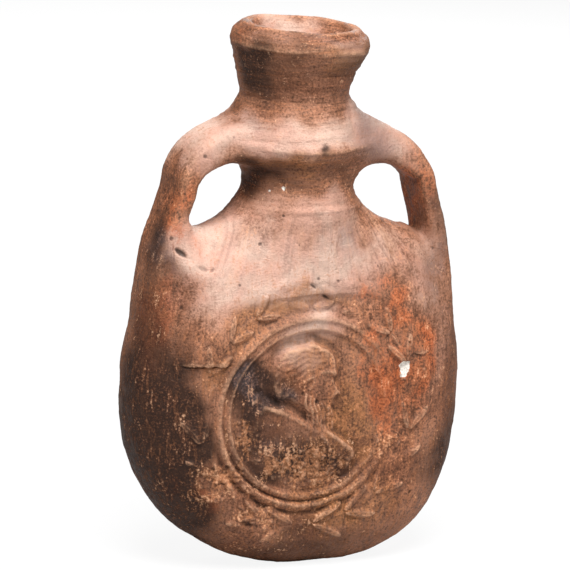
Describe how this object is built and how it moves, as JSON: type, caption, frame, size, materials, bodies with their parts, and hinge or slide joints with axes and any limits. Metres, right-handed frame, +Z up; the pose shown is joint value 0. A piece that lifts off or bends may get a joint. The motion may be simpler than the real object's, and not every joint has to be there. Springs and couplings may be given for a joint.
{
  "type": "pilgrim flask",
  "caption": "Flat round fired-clay flask with a short neck, flaring mouth, strap handles for a carrying cord and a moulded medallion on its front.",
  "frame": {"origin": "middle of the small flat on the underside that the flask stands on", "axes": "+Z up along the neck, -Y out of the decorated front, +X to the right as the front is seen"},
  "size_m": [0.121, 0.047, 0.1818],
  "materials": {
    "fired_clay": "unglazed terracotta, worn, with dark fire clouds, pale encrustation and a slight sheen from handling"
  },
  "bodies": {
    "root": {"front_shell": "fired_clay", "back_shell": "fired_clay", "seam_coil": "fired_clay", "neck_tube": "fired_clay", "shoulder_coil": "fired_clay", "neck_collar": "fired_clay", "mouth_rim": "fired_clay", "left_handle": "fired_clay", "right_handle": "fired_clay"}
  },
  "joints": []
}
